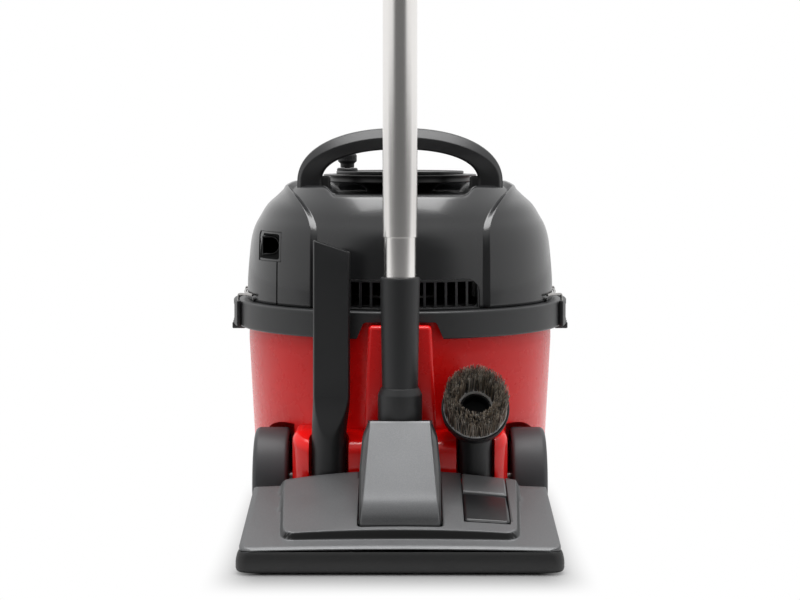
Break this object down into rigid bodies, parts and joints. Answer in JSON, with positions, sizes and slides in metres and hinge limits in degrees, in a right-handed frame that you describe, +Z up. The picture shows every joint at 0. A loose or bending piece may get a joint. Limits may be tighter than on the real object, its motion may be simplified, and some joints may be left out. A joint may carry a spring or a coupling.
{
  "type": "tub vacuum cleaner",
  "caption": "Commercial tub vacuum cleaner, parked for storage with its floor tool, steel wand, crevice tool and dusting brush.",
  "frame": {"origin": "on the floor, under the centre of the bounding box", "axes": "+Z up along the wand, +Y towards the hose inlet at the front, +X to the right of a viewer behind the machine"},
  "size_m": [0.36, 0.508, 1.11],
  "materials": {
    "tub_red": "glossy moulded red",
    "base_red": "high gloss moulded bright red",
    "head_black": "glossy moulded charcoal",
    "rim_grey": "satin moulded dark grey",
    "black_plastic": "satin moulded black",
    "tool_grey": "fine speckled satin grey",
    "cover_grey": "satin grey",
    "steel": "satin tube",
    "steel_inner": "plated sheet",
    "rubber": "matt",
    "wheel_grey": "satin moulded dark grey",
    "cloth": "non-woven cloth",
    "card": "pressed card",
    "hair": "mixed brown, black and grey hair",
    "switch_red": "glossy moulded red"
  },
  "bodies": {
    "tub_body": {"tub": "tub_red", "rim_band": "rim_grey", "rear_base": "base_red", "wheel_axle_left": "steel_inner", "wheel_axle_right": "steel_inner", "hose_inlet": "black_plastic", "inlet_seal": "rubber", "bag_collar": "card", "dust_bag": "cloth", "filter_ring": "black_plastic", "filter_cloth": "cloth"},
    "rear_wheel_left_body": {"rear_wheel_left": "wheel_grey", "hub_cap_left": "black_plastic"},
    "rear_wheel_right_body": {"rear_wheel_right": "wheel_grey", "hub_cap_right": "black_plastic"},
    "castor_left_body": {"castor_fork_left": "black_plastic"},
    "castor_right_body": {"castor_fork_right": "black_plastic"},
    "castor_wheel_left_body": {"castor_wheel_left": "rubber"},
    "castor_wheel_right_body": {"castor_wheel_right": "rubber"},
    "power_head": {"power_head_dome": "head_black", "exhaust_grille": "black_plastic", "cable_outlet": "black_plastic", "carry_handle": "head_black", "motor_deck": "black_plastic", "motor_housing": "steel_inner", "reel_stand": "steel_inner", "winder_housing": "head_black"},
    "clip_left_body": {"clip_left": "black_plastic", "clip_bail_left": "steel"},
    "clip_right_body": {"clip_right": "black_plastic", "clip_bail_right": "steel"},
    "winder": {"winder_crank": "head_black", "cable_reel": "black_plastic"},
    "winder_knob_body": {"winder_knob": "black_plastic"},
    "fan": {"motor_fan": "steel_inner"},
    "switch": {"power_switch": "switch_red"},
    "floor_tool": {"tool_bumper": "black_plastic", "tool_sole": "black_plastic", "tool_chassis": "black_plastic", "tool_deck": "tool_grey"},
    "tool_wheel_left_body": {"tool_wheel_left": "rubber"},
    "tool_wheel_right_body": {"tool_wheel_right": "rubber"},
    "pedal": {"tool_pedal": "black_plastic"},
    "strip_front_body": {"brush_strip_front": "hair"},
    "strip_rear_left_body": {"brush_strip_rear_left": "hair"},
    "strip_rear_right_body": {"brush_strip_rear_right": "hair"},
    "neck_body": {"neck": "black_plastic", "neck_cover": "cover_grey"},
    "swivel": {"swivel_collar": "black_plastic", "wand_cuff": "black_plastic"},
    "lower_wand": {"wand_lower": "steel"},
    "upper_wand": {"wand_upper": "steel"},
    "crevice": {"crevice_tool": "black_plastic"},
    "dusting_brush": {"brush_holder": "black_plastic", "brush_bristles_right": "hair", "brush_bristles_upper": "hair", "brush_bristles_left": "hair", "brush_bristles_lower": "hair"}
  },
  "joints": [
    {"name": "rear_wheel_left_spin", "type": "hinge", "parent": "tub_body", "child": "rear_wheel_left_body", "pos_m": [-0.131, -0.041, 0.05], "axis": [1, 0, 0], "continuous": true},
    {"name": "castor_left_swivel", "type": "hinge", "parent": "tub_body", "child": "castor_left_body", "pos_m": [-0.084, 0.157, 0.038], "axis": [0, 0, 1], "continuous": true},
    {"name": "castor_wheel_left_spin", "type": "hinge", "parent": "castor_left_body", "child": "castor_wheel_left_body", "pos_m": [-0.084, 0.166, 0.016], "axis": [1, 0, 0], "continuous": true},
    {"name": "rear_wheel_right_spin", "type": "hinge", "parent": "tub_body", "child": "rear_wheel_right_body", "pos_m": [0.131, -0.041, 0.05], "axis": [1, 0, 0], "continuous": true},
    {"name": "castor_right_swivel", "type": "hinge", "parent": "tub_body", "child": "castor_right_body", "pos_m": [0.084, 0.157, 0.038], "axis": [0, 0, 1], "continuous": true},
    {"name": "castor_wheel_right_spin", "type": "hinge", "parent": "castor_right_body", "child": "castor_wheel_right_body", "pos_m": [0.084, 0.166, 0.016], "axis": [1, 0, 0], "continuous": true},
    {"name": "power_head_lift", "type": "slide", "parent": "tub_body", "child": "power_head", "axis": [0, 0, 1], "range_m": [0, 0.15]},
    {"name": "clip_left_release", "type": "hinge", "parent": "tub_body", "child": "clip_left_body", "pos_m": [-0.1778, 0.069, 0.195], "axis": [0, -1, 0], "range_deg": [0, 120]},
    {"name": "clip_right_release", "type": "hinge", "parent": "tub_body", "child": "clip_right_body", "pos_m": [0.1778, 0.069, 0.195], "axis": [0, 1, 0], "range_deg": [0, 120]},
    {"name": "winder_turn", "type": "hinge", "parent": "power_head", "child": "winder", "pos_m": [0, 0.094, 0.36], "axis": [0, 0, 1], "continuous": true},
    {"name": "winder_knob_spin", "type": "hinge", "parent": "winder", "child": "winder_knob_body", "pos_m": [-0.058, 0.094, 0.37], "axis": [0, 0, 1], "continuous": true},
    {"name": "fan_spin", "type": "hinge", "parent": "power_head", "child": "fan", "pos_m": [0, 0.069, 0.202], "axis": [0, 0, 1], "continuous": true},
    {"name": "power_switch_press", "type": "slide", "parent": "power_head", "child": "switch", "axis": [0, 0, -1], "range_m": [0, 0.0025], "stiffness_N_per_m": 400},
    {"name": "floor_tool_undock", "type": "slide", "parent": "tub_body", "child": "floor_tool", "axis": [0, -1, 0], "range_m": [0, 0.45]},
    {"name": "tool_wheel_left_spin", "type": "hinge", "parent": "floor_tool", "child": "tool_wheel_left_body", "pos_m": [-0.108, -0.145, 0.009], "axis": [1, 0, 0], "continuous": true},
    {"name": "tool_wheel_right_spin", "type": "hinge", "parent": "floor_tool", "child": "tool_wheel_right_body", "pos_m": [0.108, -0.145, 0.009], "axis": [1, 0, 0], "continuous": true},
    {"name": "pedal_rock", "type": "hinge", "parent": "floor_tool", "child": "pedal", "pos_m": [0.081, -0.165, 0.0345], "axis": [-1, 0, 0], "range_deg": [0, 8]},
    {"name": "strip_front_drop", "type": "slide", "parent": "floor_tool", "child": "strip_front_body", "axis": [0, 0, -1], "range_m": [0, 0.0045]},
    {"name": "strip_rear_left_drop", "type": "slide", "parent": "floor_tool", "child": "strip_rear_left_body", "axis": [0, 0, -1], "range_m": [0, 0.0045]},
    {"name": "strip_rear_right_drop", "type": "slide", "parent": "floor_tool", "child": "strip_rear_right_body", "axis": [0, 0, -1], "range_m": [0, 0.0045]},
    {"name": "neck_tilt", "type": "hinge", "parent": "floor_tool", "child": "neck_body", "pos_m": [0, -0.198, 0.032], "axis": [-1, 0, 0], "range_deg": [0, 40]},
    {"name": "wand_swivel", "type": "hinge", "parent": "neck_body", "child": "swivel", "pos_m": [0, -0.131, 0.14], "axis": [0, 0, 1], "range_deg": [-90, 90]},
    {"name": "lower_wand_pull", "type": "slide", "parent": "swivel", "child": "lower_wand", "axis": [0, 0, 1], "range_m": [0, 0.045]},
    {"name": "upper_wand_pull", "type": "slide", "parent": "lower_wand", "child": "upper_wand", "axis": [0, 0, 1], "range_m": [0, 0.08]},
    {"name": "crevice_tool_lift", "type": "slide", "parent": "tub_body", "child": "crevice", "axis": [0, 0, 1], "range_m": [0, 0.04]},
    {"name": "dusting_brush_lift", "type": "slide", "parent": "tub_body", "child": "dusting_brush", "axis": [0, 0, 1], "range_m": [0, 0.03]}
  ],
  "couplings": [
    {"joint": "clip_left_release", "follows": "power_head_lift", "rad_per_m": 13.961},
    {"joint": "clip_right_release", "follows": "power_head_lift", "rad_per_m": 13.961},
    {"joint": "neck_tilt", "follows": "floor_tool_undock", "rad_per_m": 1.5513},
    {"joint": "strip_front_drop", "follows": "pedal_rock", "m_per_rad": 0.032226},
    {"joint": "strip_rear_left_drop", "follows": "pedal_rock", "m_per_rad": 0.032226},
    {"joint": "strip_rear_right_drop", "follows": "pedal_rock", "m_per_rad": 0.032226}
  ]
}
